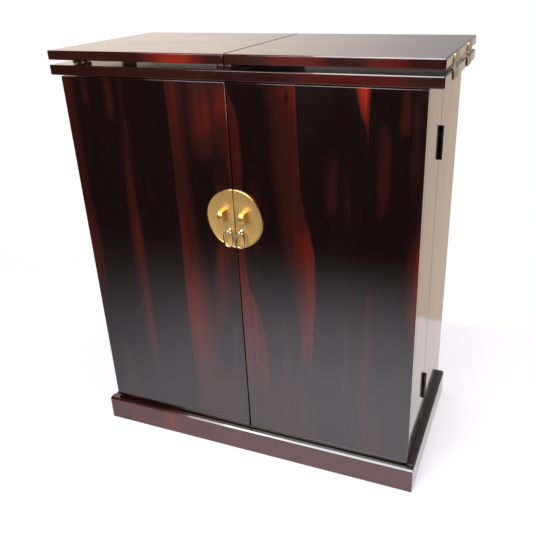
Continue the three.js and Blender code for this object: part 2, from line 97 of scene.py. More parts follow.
class CabinetFinish(bpy.types.PropertyGroup):
    """Colours and gloss."""

    dark: colour("Dark lacquer", "Ground colour of the veneer under the lacquer", (0.0042, 0.0017, 0.0017))
    maroon: colour("Maroon", "Colour of the veneer's faint figure", (0.026, 0.0048, 0.0040))
    red: colour("Red", "Colour of the veneer's red veins", (0.090, 0.0072, 0.0042))
    glow: colour("Orange red", "Colour of the brightest veins", (0.420, 0.0260, 0.0090))
    lacquer_roughness: bpy.props.FloatProperty(
        name="Lacquer roughness", description="Roughness of the clear top coat",
        default=0.05, min=0, max=1, subtype="FACTOR")
    inner: colour("Inner wood", "Colour of the satin boards inside", (0.085, 0.020, 0.012))
    brass: colour("Brass", "Colour of the lock plate and studs", (0.86, 0.58, 0.22))
    silvery_brass: colour("Pale brass", "Colour of the rings, posts and leaf hinges", (0.70, 0.61, 0.45))
    bronze: colour("Dark bronze", "Colour of the door hinges", (0.045, 0.032, 0.030))


class CabinetDetail(bpy.types.PropertyGroup):
    """Sizes of the edges and of the small fastenings."""

    board_edge: width("Board edge", "Radius of the lacquered boards' eased edges", 1.1, 0.2, 3)
    inner_edge: width("Inner board edge", "Radius of the edges of the boards inside", 0.8, 0.2, 3)
    top_chamfer: width("Top chamfer", "Width of the chamfer round the leaves and the counter", 2, 0.2, 4)
    chamfer_edge: width("Chamfer edge", "Radius of the edges that the top chamfer leaves", 0.4, 0.1, 1)
    plinth_chamfer: width("Plinth chamfer", "Width of the chamfer along the plinth's top", 4.5, 1, 12)
    rim_width: width("Rim width", "Width of the lock plate's raised rim", 3, 1, 6)
    plate_thickness: width("Plate thickness", "Thickness of the lock plate inside its rim", 2, 1, 3)
    nail_radius: width("Nail radius", "Radius of the lock plate's nail heads", 1.7, 0.5, 4)
    screw_radius: width("Screw radius", "Radius of the hinge screws' heads", 3, 1, 5)


class CabinetStage(bpy.types.PropertyGroup):
    """Camera, floor and lights."""

    camera_place: bpy.props.FloatVectorProperty(
        name="Camera place", description="Where the camera stands",
        default=(0.6425, -1.4035, 1.1942), size=3, subtype="TRANSLATION", unit="LENGTH")
    camera_turn: turn("Camera turn", "How far the view is turned to the left of straight back", 22.07)
    camera_tilt: turn("Camera tilt", "How far the view looks down", 24.96)
    camera_roll: turn("Camera roll", "How far the camera leans clockwise", 1.74)
    lens: bpy.props.FloatProperty(
        name="Lens", description="Focal length in millimetres on a 36 mm frame",
        default=42.34, min=10, max=200)
    view_shift: bpy.props.FloatVectorProperty(
        name="View shift", description="How far the picture is shifted right and up, in picture widths",
        default=(-0.0608, -0.0122), size=2)
    floor_colour: colour("Floor", "Colour of the pale floor", (0.84, 0.81, 0.90))
    front_light: power("Front light", "Power of the soft light before the doors", 50)
    edge_light: power("Edge light", "Power of the strip light that draws the plinth's top edge", 26)
    top_light: power("Top light", "Power of the soft light overhead", 56)


# ---------------------------------------------------------------- writing node trees
class NodeTree:
    """A node tree being written; each method adds a node and gives its output."""

    def __init__(self, tree):
        self.tree = tree

    def node(self, kind, sockets=None, **settings):
        made = self.tree.nodes.new(kind)
        for setting, value in settings.items():
            setattr(made, setting, value)
        for socket, value in (sockets or {}).items():
            self.feed(made.inputs[socket], value)
        return made

    def feed(self, socket, value):
        """Links an output to a socket, or sets the socket's own value."""
        if isinstance(value, bpy.types.NodeSocket):
            self.tree.links.new(value, socket)
        else:
            socket.default_value = value

    def math(self, operation, first, second, clamp=False):
        sockets = {0: first, 1: second}
        return self.node("ShaderNodeMath", sockets, operation=operation, use_clamp=clamp).outputs[0]

    def plus(self, first, second, clamp=False):
        return self.math("ADD", first, second, clamp)

    def minus(self, first, second):
        return self.math("SUBTRACT", first, second)

    def times(self, first, second):
        return self.math("MULTIPLY", first, second)

    def most(self, first, second):
        return self.math("MAXIMUM", first, second)

    def ease(self, value, low, high, to_low=0.0, to_high=1.0, kind="SMOOTHSTEP"):
        """Goes smoothly, or evenly when kind is LINEAR, from to_low at low to to_high at high."""
        sockets = {"Value": value, "From Min": low, "From Max": high, "To Min": to_low, "To Max": to_high}
        return self.node("ShaderNodeMapRange", sockets, interpolation_type=kind).outputs["Result"]

    def coordinates(self, output="Object"):
        """A place, and its X, Y and Z."""
        place = self.node("ShaderNodeTexCoord").outputs[output]
        return place, self.node("ShaderNodeSeparateXYZ", {0: place}).outputs

    def noise(self, vector, detail=2.0, roughness=0.5, distortion=0.0):
        sockets = {"Vector": vector, "Scale": 1.0, "Detail": detail, "Roughness": roughness,
                   "Distortion": distortion}
        return self.node("ShaderNodeTexNoise", sockets).outputs["Fac"]

    def stretch(self, vector, scale, shift=(0.0, 0.0, 0.0)):
        sockets = {"Vector": vector, "Scale": scale, "Location": shift}
        return self.node("ShaderNodeMapping", sockets).outputs["Vector"]

    def ramp(self, value, stops):
        made = self.node("ShaderNodeValToRGB", {"Fac": value})
        made.color_ramp.interpolation = "EASE"
        elements = made.color_ramp.elements
        while len(elements) < len(stops):
            elements.new(0.5)
        for element, (position, shade) in zip(elements, stops):
            element.position = position
            element.color = (*shade, 1.0)
        return made.outputs["Color"]

    def blend(self, share, first, second):
        """A mix of two colours, from the first at share 0 to the second at 1."""
        factor, colour_a, colour_b = 0, 6, 7
        sockets = {factor: share, colour_a: first, colour_b: second}
        return self.node("ShaderNodeMix", sockets, data_type="RGBA").outputs[2]

    def curve(self, value, points):
        """A value read from a smooth curve through (0 to 1, 0 to 1) points."""
        made = self.node("ShaderNodeFloatCurve", {"Value": value})
        made.mapping.extend = "HORIZONTAL"
        line = made.mapping.curves[0]
        while len(line.points) < len(points):
            line.points.new(0.5, 0.5)
        for point, place in zip(line.points, sorted(points)):
            point.location = place
            point.handle_type = "AUTO_CLAMPED"
        made.mapping.update()
        return made.outputs["Value"]

    def bump(self, height, distance):
        sockets = {"Height": height, "Distance": distance, "Strength": 1.0}
        return self.node("ShaderNodeBump", sockets).outputs["Normal"]


class Recipe(NodeTree):
    """A material being written."""

    def __init__(self, name):
        self.material = bpy.data.materials.new(name)
        self.material.use_nodes = True
        super().__init__(self.material.node_tree)
        self.shader = self.tree.nodes["Principled BSDF"]

    def grain_space(self, along):
        """The object's own coordinates with the grain along the third axis, and their parts as they were."""
        _, parts = self.coordinates()
        order = {"X": "ZYX", "Y": "ZXY", "Z": "XYZ"}[along]
        sockets = {to: parts[source] for to, source in zip("XYZ", order)}
        return self.node("ShaderNodeCombineXYZ", sockets).outputs[0], parts

    def eased_edge(self):
        """1 on the eased edges of a board, 0 on its flats."""
        return self.node("ShaderNodeAttribute", attribute_name="eased_edge").outputs["Fac"]

    def surface(self, **values):
        """Sets the shader's sockets, named with underscores for spaces."""
        for name, value in values.items():
            self.feed(self.shader.inputs[name.replace("_", " ")], value)
        return self.material


# ---------------------------------------------------------------- the veneer's veins
# One vein of colour: its two edges as (place along, place across), how softly each edge ends, and its
# strength as (place along, strength), all in millimetres but the strength.
Vein = namedtuple("Vein", "left right soft strength")
ALONG_SPAN = (0.0, 1.05)  # the stretches, in metres, that a vein's places are measured on
ACROSS_SPAN = (-0.46, 0.46)

RED_VEINS = [
    # right door: bright wedge at the top that runs down as a thread
    Vein([(780, 312), (880, 309), (985, 278)], [(780, 315), (985, 317)], (7, 3),
         [(770, 0), (800, 0.3), (885, 0.40), (930, 0.72), (985, 0.82)]),
    # right door: long vein with a sharp right edge, from top to foot
    Vein([(60, 160), (250, 140), (450, 120), (560, 105), (650, 88), (800, 66), (985, 62)],
         [(60, 206), (120, 203), (240, 187), (420, 192), (500, 198), (600, 196), (700, 178), (790, 162),
          (985, 160)], (78, 8),
         [(60, 0.36), (150, 0.42), (300, 0.46), (450, 0.6), (580, 0.62), (680, 0.42), (760, 0.36),
          (820, 0.38), (880, 0.36), (940, 0.46), (985, 0.52)]),
    # right door: the same vein's redder right side at middle height
    Vein([(300, 120), (600, 132)], [(240, 187), (420, 192), (500, 198), (600, 196), (660, 186)], (50, 5),
         [(260, 0), (340, 0.52), (440, 0.62), (560, 0.62), (640, 0.44), (700, 0)]),
    # right door: the same vein's brighter right edge at the top
    Vein([(780, 138), (985, 134)], [(780, 163), (985, 160)], (22, 3),
         [(770, 0), (810, 0.52), (870, 0.44), (930, 0.58), (985, 0.64)]),
    # right door: leaf-shaped patch beside the seam
    Vein([(200, -4), (640, -4)], [(60, 78), (230, 74), (300, 72), (400, 60), (500, 30), (560, 26), (630, 36)],
         (6, 9),
         [(60, 0.22), (170, 0.32), (240, 0.5), (400, 0.56), (520, 0.5), (600, 0.4), (650, 0.1), (700, 0)]),
    # right door: a dim rise right of the dark streak
    Vein([(200, 96), (420, 92)], [(200, 150), (420, 128)], (24, 20),
         [(160, 0), (260, 0.36), (400, 0.34), (470, 0)]),
    # right door: beside the seam at the top, over from the left door
    Vein([(740, -12), (985, -12)], [(780, 30), (815, 32), (890, 25), (940, 8), (985, 4)], (8, 5),
         [(735, 0), (790, 0.36), (900, 0.46), (985, 0.40)]),
    # right door: its outer edge
    Vein([(400, 400), (480, 392), (600, 390), (700, 404), (985, 410)], [(400, 432), (985, 432)], (40, 1),
         [(360, 0), (440, 0.42), (520, 0.62), (610, 0.64), (700, 0.45), (820, 0.40), (880, 0.15),
          (985, 0.25)]),
    # right door: two low strands
    Vein([(330, 303), (530, 308)], [(330, 338), (530, 334)], (16, 16),
         [(340, 0), (430, 0.44), (500, 0.44), (560, 0)]),
    Vein([(200, 290), (400, 296)], [(200, 330), (400, 334)], (20, 14),
         [(150, 0), (250, 0.36), (350, 0.36), (430, 0)]),
    # right door: dim clouds near the top
    Vein([(680, 318), (900, 322)], [(680, 374), (900, 372)], (30, 28),
         [(700, 0), (800, 0.3), (870, 0.24), (940, 0)]),
    Vein([(680, 196), (850, 200)], [(680, 276), (850, 270)], (40, 38), [(680, 0), (785, 0.22), (880, 0)]),
    Vein([(900, 368), (985, 372)], [(900, 408), (985, 404)], (20, 20), [(900, 0), (960, 0.46), (990, 0.42)]),
    # left door: broad vein with a sharp left edge, from top to foot
    Vein([(60, -152), (240, -157), (500, -154), (985, -152)],
         [(60, -70), (250, -48), (450, -52), (600, -78), (985, -84)], (4, 64),
         [(60, 0.26), (150, 0.32), (240, 0.44), (370, 0.56), (560, 0.52), (650, 0.46),
          (720, 0.36), (780, 0.32),
          (840, 0.40), (900, 0.44), (985, 0.50)]),
    # left door: patch between that vein and the seam, at the top
    Vein([(780, -118), (985, -118)], [(780, 6), (985, 6)], (46, 2),
         [(770, 0), (860, 0.34), (925, 0.56), (985, 0.42)]),
    Vein([(880, -62), (960, -62)], [(880, 4), (960, 4)], (40, 2), [(880, 0), (922, 0.62), (965, 0)]),
    # left door: middle strand
    Vein([(60, -310), (500, -312), (850, -300)],
         [(60, -260), (300, -258), (560, -257), (850, -262)], (38, 14),
         [(60, 0.16), (200, 0.22), (290, 0.44), (430, 0.5), (560, 0.5), (650, 0.42), (780, 0.3), (880, 0)]),
    # both doors: a dull warmth at the foot
    Vein([(60, 30), (300, 66)], [(60, 192), (300, 172)], (40, 24),
         [(60, 0.4), (180, 0.36), (260, 0.2), (330, 0)]),
    Vein([(60, -150), (300, -110)], [(60, -2), (300, -8)], (30, 24),
         [(60, 0.38), (180, 0.33), (260, 0.2), (330, 0)]),
    Vein([(60, 292), (300, 298)], [(60, 384), (300, 356)], (30, 24),
         [(60, 0.36), (160, 0.34), (240, 0.2), (300, 0)]),
    Vein([(60, -420), (300, -410)], [(60, -330), (300, -346)], (30, 24),
         [(60, 0.34), (180, 0.3), (260, 0.16), (300, 0)]),
    # left door: its outer edge
    Vein([(60, -434), (985, -434)], [(60, -386), (985, -382)], (1, 44),
         [(60, 0.16), (380, 0.22), (470, 0.5), (600, 0.52), (700, 0.34), (850, 0.34), (985, 0.44)]),
    # left door: a slanting strand under the lock plate
    Vein([(380, -100), (620, -66)], [(380, -40), (620, 4)], (28, 24),
         [(330, 0), (430, 0.42), (560, 0.44), (640, 0)]),
    Vein([(180, -60), (420, -40)], [(180, -20), (420, 4)], (24, 20),
         [(140, 0), (260, 0.34), (360, 0.34), (440, 0)]),
    # left door: small clouds
    Vein([(860, -330), (985, -326)], [(860, -276), (985, -280)], (26, 26),
         [(840, 0), (900, 0.12), (950, 0.28), (985, 0.2)]),
    Vein([(860, -390), (985, -390)], [(860, -350), (985, -350)], (20, 20),
         [(850, 0), (905, 0.1), (950, 0.26), (985, 0.2)]),
    Vein([(100, -400), (260, -400)], [(100, -360), (260, -360)], (20, 20),
         [(60, 0.2), (150, 0.32), (250, 0.16), (300, 0)]),
]

DARK_VEINS = [
    # right door: the dark side of the leaf-shaped patch
    Vein([(300, 130), (370, 134), (434, 118), (501, 88), (560, 42), (610, 22)],
         [(300, 156), (370, 162), (434, 154), (501, 136), (560, 98), (610, 66)], (14, 12),
         [(270, 0), (330, 0.75), (560, 0.8), (610, 0.4), (650, 0)]),
    # right door: a small knot
    Vein([(940, 132), (972, 132)], [(940, 143), (972, 143)], (5, 5), [(940, 0), (956, 0.8), (972, 0)]),
]




def span_share(value, span):
    """How far along a span, 0 to 1, a place in millimetres is."""
    return (value * MM - span[0]) / (span[1] - span[0])


def vein_mask(recipe, across, share_along, vein):
    """How strongly one vein shows, 0 to 1, at a place across and a share of the span along."""

    def edge(points):
        placed = [(span_share(a, ALONG_SPAN), span_share(c, ACROSS_SPAN)) for a, c in points]
        metres = recipe.times(recipe.curve(share_along, placed), ACROSS_SPAN[1] - ACROSS_SPAN[0])
        return recipe.plus(metres, ACROSS_SPAN[0])

    from_left = recipe.minus(across, edge(vein.left))
    from_right = recipe.minus(edge(vein.right), across)
    soft_left, soft_right = (soft * MM for soft in vein.soft)
    inside = recipe.times(recipe.ease(from_left, 0.0, soft_left), recipe.ease(from_right, 0.0, soft_right))
    strength = recipe.curve(share_along, [(span_share(a, ALONG_SPAN), s) for a, s in vein.strength])
    return recipe.times(inside, strength)


def strongest(recipe, across, along, veins):
    """The strongest of several veins at each place."""
    share_along = recipe.ease(along, *ALONG_SPAN, kind="LINEAR")
    total = None
    for vein in veins:
        mask = vein_mask(recipe, across, share_along, vein)
        total = mask if total is None else recipe.most(total, mask)
    return total


def patch_mask(recipe, lengthwise, low, high, soft):
    """1 between two places along the grain, with soft ends."""
    return recipe.times(
        recipe.ease(lengthwise, low - soft, low + soft),
        recipe.ease(lengthwise, high - soft, high + soft, 1.0, 0.0))


# ---------------------------------------------------------------- finishes
def lacquer(name, along, veins=(), dark_veins=(), patches=(), figure=0.5, ground=0.0, front=None, seed=0.0):
    """High-gloss lacquer over a dark, red-veined veneer whose grain runs along one axis.

    patches are (from, to, softness, strength) along the grain. front is where a board's front edge is:
    its patches and its warmer ground show there, and hardly on its other faces."""
    colours = bpy.context.scene.cabinet_finish
    recipe = Recipe(name)
    space, parts = recipe.grain_space(along)

    def noise(scale, shift, *settings):
        return recipe.noise(recipe.stretch(space, scale, shift), *settings)

    sway = recipe.times(recipe.minus(noise((7, 7, 2.2), (seed, 0, 0)), 0.5), 0.016)
    bands = noise((13, 5, 0.9), (seed, 3, 1), 4.0, 0.55, 0.5)
    clouds = noise((5, 5, 2.6), (2, seed, 5), 3.0)
    fibres = noise((420, 420, 9), (seed, 1, 0))
    faint = recipe.times(recipe.ease(bands, 0.44, 0.72), recipe.ease(clouds, 0.36, 0.66))
    facing = 1.0 if front is None else recipe.ease(parts["Y"], front + 1 * MM, front + 4 * MM, 1.0, 0.25)
    warmth = recipe.times(recipe.ease(faint, 0.0, 1.0, ground, figure), facing)
    if veins:
        across = recipe.plus(parts["X"], sway)
        wander = recipe.ease(noise((16, 16, 6), (seed, 2, 8)), 0.2, 0.8, -0.03, 0.03)
        lengthwise = recipe.plus(parts["Z"], wander)
        streaks = noise((85, 85, 2.6), (seed, 6, 0), 3.0)
        streaked = recipe.ease(streaks, 0.25, 0.75, 0.8, 1.12)
        mottled = recipe.times(recipe.ease(clouds, 0.25, 0.75, 0.8, 1.1), streaked)
        strong = strongest(recipe, across, lengthwise, veins)
        shade = strongest(recipe, across, lengthwise, dark_veins)
        warmth = recipe.most(warmth, recipe.times(strong, mottled))
        warmth = recipe.times(warmth, recipe.minus(1.0, shade))
    for low, high, soft, strength in patches:
        lengthwise = recipe.plus(parts[along], recipe.times(sway, 2.0))
        inside = recipe.times(patch_mask(recipe, lengthwise, low, high, soft), facing)
        mottled = recipe.ease(clouds, 0.2, 0.8, 0.7 * strength, 1.2 * strength)
        warmth = recipe.most(warmth, recipe.times(inside, mottled))
    grained = recipe.plus(warmth, recipe.times(recipe.minus(fibres, 0.5), 0.10), clamp=True)
    tinted = recipe.ramp(
        grained, [(0.0, colours.dark), (0.3, colours.maroon), (0.65, colours.red), (1.0, colours.glow)])
    wear = recipe.times(recipe.eased_edge(), recipe.ease(clouds, 0.4, 0.7, 0.0, 0.5))
    ripple = recipe.plus(recipe.times(fibres, 0.10), noise((38, 38, 38), (0, 0, 0), 1.0))
    smear = noise((9, 9, 4), (4, seed, 0), 3.0)
    return recipe.surface(
        Base_Color=recipe.blend(wear, tinted, (*colours.red, 1.0)),
        Roughness=recipe.ease(smear, 0.3, 0.7, 0.11, 0.19),
        IOR=1.5,
        Coat_Weight=1.0,
        Coat_Roughness=colours.lacquer_roughness,
        Coat_IOR=1.55,
        Coat_Normal=recipe.bump(ripple, 0.00006),
        Normal=recipe.bump(fibres, 0.00004),
    )


def satin_wood(name, along, seed):
    """Satin red-brown wood for the boards inside."""
    base = bpy.context.scene.cabinet_finish.inner
    recipe = Recipe(name)
    space, _ = recipe.grain_space(along)
    bands = recipe.noise(recipe.stretch(space, (24, 24, 1.4), (seed, 0, 2)), 5.0, 0.6, 0.6)
    fibres = recipe.noise(recipe.stretch(space, (520, 520, 12), (seed, 0, 0)))
    pores = recipe.math("GREATER_THAN", recipe.noise(recipe.stretch(space, (900, 900, 40)), 1.0), 0.66)
    tone = recipe.plus(bands, recipe.times(recipe.minus(fibres, 0.5), 0.3))
    dark = tuple(0.38 * part for part in base)
    light = tuple(1.7 * part for part in base)
    ground = recipe.ramp(tone, [(0.3, dark), (0.5, tuple(base)), (0.72, light)])
    grained = recipe.blend(recipe.times(pores, 0.5), ground, (*dark, 1.0))
    return recipe.surface(
        Base_Color=recipe.blend(recipe.times(recipe.eased_edge(), 0.35), grained, (*light, 1.0)),
        Roughness=recipe.ease(bands, 0.3, 0.7, 0.32, 0.46),
        Coat_Weight=0.4,
        Coat_Roughness=0.2,
        Normal=recipe.bump(recipe.minus(fibres, pores), 0.00012),
    )


def brushed_metal(name, setting, along, roughness, patina, share=1.0, lines_per_metre=900.0, bump=0.00003,
                  polished_rim=False):
    """Metal rubbed in one direction, with a little patina, in a share of one of the set colours.

    With a polished_rim it is smoother where the lock plate's rim is."""
    base = tuple(share * part for part in getattr(bpy.context.scene.cabinet_finish, setting))
    recipe = Recipe(name)
    space, _ = recipe.grain_space(along)
    lines = recipe.noise(
        recipe.stretch(space, (lines_per_metre, lines_per_metre, lines_per_metre / 40)), 2.0, 0.6)
    blotches = recipe.noise(recipe.stretch(space, (90, 90, 60)), 4.0, 0.6, 0.4)
    specks = recipe.noise(recipe.stretch(space, (420, 420, 420)))
    stain = recipe.times(recipe.ease(blotches, 0.42, 0.72), patina)
    spots = recipe.times(recipe.ease(specks, 0.66, 0.76), patina)
    shade = recipe.most(stain, spots)
    dull = (*(part * kept for part, kept in zip(base, (0.62, 0.5, 0.34))), 1.0)
    ground = recipe.blend(shade, (*base, 1.0), dull)
    rough = recipe.ease(lines, 0.3, 0.7, roughness - 0.03, roughness + 0.05)
    if polished_rim:
        low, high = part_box("right_lock_plate")
        start = (high.z - low.z) / 2 - bpy.context.scene.cabinet_detail.rim_width
        place, _ = recipe.coordinates()
        centred = recipe.stretch(place, (1, 0, 1), (0, 0, -(low.z + high.z) / 2))
        reach = recipe.node("ShaderNodeVectorMath", {0: centred}, operation="LENGTH").outputs["Value"]
        rough = recipe.times(rough, recipe.ease(reach, start - 0.5 * MM, start + 0.5 * MM, 1.0, 0.42))
    return recipe.surface(
        Base_Color=recipe.blend(recipe.times(lines, 0.22), ground, dull),
        Metallic=1.0,
        Roughness=recipe.plus(recipe.times(shade, 0.1), rough),
        Normal=recipe.bump(lines, bump),
    )


def dark_bronze(name):
    """Dark, nearly black bronze with rubbed highlights."""
    base = tuple(bpy.context.scene.cabinet_finish.bronze)
    recipe = Recipe(name)
    space, _ = recipe.grain_space("Z")
    blotches = recipe.noise(recipe.stretch(space, (140, 140, 60)), 4.0, 0.6)
    specks = recipe.noise(recipe.stretch(space, (900, 900, 900)))
    rubbed = tuple(3.2 * part for part in base)
    return recipe.surface(
        Base_Color=recipe.ramp(blotches, [(0.35, base), (0.75, rubbed)]),
        Metallic=1.0,
        Roughness=recipe.ease(blotches, 0.3, 0.7, 0.30, 0.46),
        Normal=recipe.bump(specks, 0.00003),
    )


# where bright patches show along the front edges, as (from, to, softness, strength)
LEAF_PATCHES = ((-0.205, -0.040, 0.055, 0.76), (0.085, 0.245, 0.045, 0.62), (0.29, 0.41, 0.04, 0.56))
COUNTER_PATCHES = ((-0.16, -0.02, 0.08, 0.36), (0.12, 0.42, 0.08, 0.54))
PLINTH_PATCHES = ((-0.41, -0.31, 0.05, 0.60), (-0.29, -0.19, 0.06, 0.66), (-0.09, 0.01, 0.06, 0.58),
                  (0.14, 0.20, 0.05, 0.60), (0.26, 0.34, 0.05, 0.56))

# each finish's maker and what it is made with
FINISHES = {
    "door_veneer": (lacquer, dict(
        along="Z", veins=RED_VEINS, dark_veins=DARK_VEINS, figure=0.32, ground=0.06)),
    "upright_veneer": (lacquer, dict(along="Z", figure=0.62, seed=7.0)),
    "leaf_veneer": (lacquer, dict(
        along="X", patches=LEAF_PATCHES, figure=0.62, ground=0.34, front=LEAF_FRONT, seed=2.0)),
    "counter_veneer": (lacquer, dict(
        along="X", patches=COUNTER_PATCHES, figure=0.42, ground=0.2, front=LEAF_FRONT, seed=5.0)),
    "plinth_veneer": (lacquer, dict(
        along="X", patches=PLINTH_PATCHES, figure=0.60, ground=0.48, front=PLINTH_FRONT, seed=9.0)),
    "return_veneer": (lacquer, dict(along="Y", figure=0.5, ground=0.2, seed=4.0)),
    "satin_crosswise": (satin_wood, dict(along="X", seed=6.0)),
    "satin_fore_and_aft": (satin_wood, dict(along="Y", seed=8.0)),
    "plate_brass": (brushed_metal, dict(
        setting="brass", along="Z", roughness=0.46, patina=0.30, polished_rim=True)),
    "stud_brass": (brushed_metal, dict(setting="brass", along="Z", roughness=0.34, patina=0.18)),
    "pale_brass": (brushed_metal, dict(
        setting="silvery_brass", along="Z", roughness=0.16, patina=0.25, lines_per_metre=600.0,
        bump=0.00001)),
    "hinge_brass": (brushed_metal, dict(
        setting="silvery_brass", along="Y", roughness=0.3, patina=0.4, share=0.6)),
    "bronze": (dark_bronze, {}),
}


def finish(name):
    """The material of that finish, made the first time that it is asked for."""
    maker, settings = FINISHES[name]
    return bpy.data.materials.get(name) or maker(name, **settings)


# ---------------------------------------------------------------- modelling helpers
def finished(name, bm, finish_name, node, smooth_angle=35.0, stands_in=True):
    """Makes bm a piece that rides on a CAD node's body and, when it stands_in, is shown for that node.

    Without a smooth_angle only the eased edges are shaded smooth, and the flats stay flat."""
    bmesh.ops.recalc_face_normals(bm, faces=bm.faces)
    mark = bm.faces.layers.float.get("eased_edge")
    for face in bm.faces:
        face.smooth = smooth_angle is not None or bool(mark and face[mark] > 0.5)
    mesh = bpy.data.meshes.new(name)
    bm.to_mesh(mesh)
    bm.free()
    if smooth_angle is not None:
        mesh.set_sharp_from_angle(angle=math.radians(smooth_angle))
    mesh.materials.append(finish(finish_name))
    piece = bpy.data.objects.new(name, mesh)
    bpy.context.scene.collection.objects.link(piece)
    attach(piece, NODE_BODY[node])
    if stands_in:
        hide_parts(node)


def merged_copy(node):
    """A CAD node's mesh with its vertices merged and its flat faces made whole."""
    bm = bmesh.new()
    bm.from_mesh(frame["nodes"][node].data)
    bmesh.ops.remove_doubles(bm, verts=bm.verts, dist=1e-6)
    bmesh.ops.dissolve_limit(
        bm, angle_limit=math.radians(1), verts=bm.verts, edges=bm.edges, use_dissolve_boundaries=False)
    return bm


def lies_at(edge, axis, level):
    """Whether both ends of an edge are at one level along an axis."""
    return all(abs(vert.co[axis] - level) < 0.01 * MM for vert in edge.verts)


def on_outline(edge, low, high):
    """Whether an edge lies along one of the twelve edges of a box."""
    return sum(lies_at(edge, axis, corner[axis]) for axis in range(3) for corner in (low, high)) >= 2


def sharp_edges(bm, angle=30.0):
    limit = math.radians(angle)
    return [edge for edge in bm.edges if edge.is_manifold and edge.calc_face_angle() > limit]


def bevel(bm, edges, offset, segments):
    """Cuts or rounds edges, and gives the new faces."""
    return bmesh.ops.bevel(
        bm, geom=edges, offset=offset, offset_type="OFFSET", segments=segments, profile=0.5,
        affect="EDGES", clamp_overlap=True, material=-1)["faces"]


def ease_edges(bm, edges, radius, segments=3):
    """Rounds edges, and marks the new faces so that the finish can show wear there."""
    mark = bm.faces.layers.float.get("eased_edge") or bm.faces.layers.float.new("eased_edge")
    for face in bevel(bm, edges, radius, segments):
        face[mark] = 1.0


def spun(bm, verts, edges, steps):
    """A section turned all the way round Z."""
    bmesh.ops.spin(
        bm, geom=verts + edges, cent=(0, 0, 0), axis=(0, 0, 1), dvec=(0, 0, 0), angle=2 * math.pi,
        steps=steps, use_merge=True)
    bmesh.ops.remove_doubles(bm, verts=bm.verts, dist=1e-7)
    bmesh.ops.recalc_face_normals(bm, faces=bm.faces)
    return bm


def turned(profile, steps=32, hollow=False):
    """A solid turned about Z from (radius, height) points, which start and end on the axis.

    In a hollow one they close on themselves instead."""
    bm = bmesh.new()
    verts = [bm.verts.new((radius, 0.0, height)) for radius, height in profile]
    ahead = verts[1:] + verts[:1] if hollow else verts[1:]
    return spun(bm, verts, [bm.edges.new(pair) for pair in zip(verts, ahead)], steps)


def drawn_out(outline, shift):
    """A solid with a flat outline of points, drawn out by a shift."""
    bm = bmesh.new()
    verts = [bm.verts.new(point) for point in outline]
    bmesh.ops.remove_doubles(bm, verts=verts, dist=1e-6)
    face = bm.faces.new([vert for vert in verts if vert.is_valid])
    grown = bmesh.ops.extrude_face_region(bm, geom=[face])["geom"]
    bmesh.ops.translate(bm, vec=shift, verts=[item for item in grown if isinstance(item, bmesh.types.BMVert)])
    bmesh.ops.recalc_face_normals(bm, faces=bm.faces)
    return bm


def arc(centre, radius, start, end, steps):
    """Points on an arc between two angles in degrees, as (first, second) pairs."""
    angles = [math.radians(start + (end - start) * step / steps) for step in range(steps + 1)]
    return [(centre[0] + radius * math.cos(a), centre[1] + radius * math.sin(a)) for a in angles]


def as_object(bm):
    mesh = bpy.data.meshes.new("part_for_joining")
    bm.to_mesh(mesh)
    bm.free()
    made = bpy.data.objects.new("part_for_joining", mesh)
    bpy.context.scene.collection.objects.link(made)
    return made


def carve(start, unions=(), cuts=()):
    """start with other closed shapes joined to it or cut out of it, as a new bmesh."""
    base = as_object(start)
    tools = [(as_object(part), "UNION") for part in unions]
    tools += [(as_object(part), "DIFFERENCE") for part in cuts]
    for tool, operation in tools:
        modifier = base.modifiers.new(operation.lower(), "BOOLEAN")
        modifier.operation = operation
        modifier.solver = "EXACT"
        modifier.object = tool
    shaped = base.evaluated_get(bpy.context.evaluated_depsgraph_get())
    bm = bmesh.new()
    bm.from_mesh(shaped.to_mesh())
    shaped.to_mesh_clear()
    for made in [base] + [tool for tool, _ in tools]:
        mesh = made.data
        bpy.data.objects.remove(made)
        bpy.data.meshes.remove(mesh)
    bmesh.ops.remove_doubles(bm, verts=bm.verts, dist=1e-7)
    return bm


def moved(bm, matrix):
    bmesh.ops.transform(bm, matrix=matrix, verts=bm.verts)
    return bm


def basis(origin, x_axis, y_axis, z_axis):
    """The matrix that lays a shape's own axes along three directions, at a place."""
    turned_to = Matrix((x_axis, y_axis, z_axis)).transposed().to_4x4()
    return Matrix.Translation(Vector(origin)) @ turned_to


def gathered(parts):
    """Several bmeshes as one."""
    bm = bmesh.new()
    for part in parts:
        mesh = bpy.data.meshes.new("part_for_gathering")
        part.to_mesh(mesh)
        part.free()
        bm.from_mesh(mesh)
        bpy.data.meshes.remove(mesh)
    return bm


# ---------------------------------------------------------------- boards
OUTER_BOARDS = {
    "plinth_back": "plinth_veneer",
    "base_board": "plinth_veneer",
    "case_left_side": "upright_veneer",
    "case_right_side": "upright_veneer",
    "case_back": "upright_veneer",
}
SIDED_OUTER_BOARDS = {
    "leaf_batten": "return_veneer",
    "door_front_panel": "door_veneer",
    "door_outer_side": "upright_veneer",
    "door_meeting_side": "upright_veneer",
}
INNER_BOARDS = {
    "case_shelf": "satin_crosswise",
    "stemware_rail_left": "satin_fore_and_aft",
    "stemware_rail_middle": "satin_fore_and_aft",
    "stemware_rail_right": "satin_fore_and_aft",
    "bottle_cradle_front": "satin_crosswise",
    "bottle_cradle_back": "satin_crosswise",
}
SIDED_INNER_BOARDS = ("door_bottom", "door_top", "door_shelf", "door_gallery_rail_lower",
                      "door_gallery_rail_upper")


def eased_board(node, bm, edges, radius, finish_name, segments=3):
    """Eases a board's edges and puts it in place of its CAD node."""
    ease_edges(bm, edges, radius, segments)
    finished(f"{node}_board", bm, finish_name, node, smooth_angle=None)


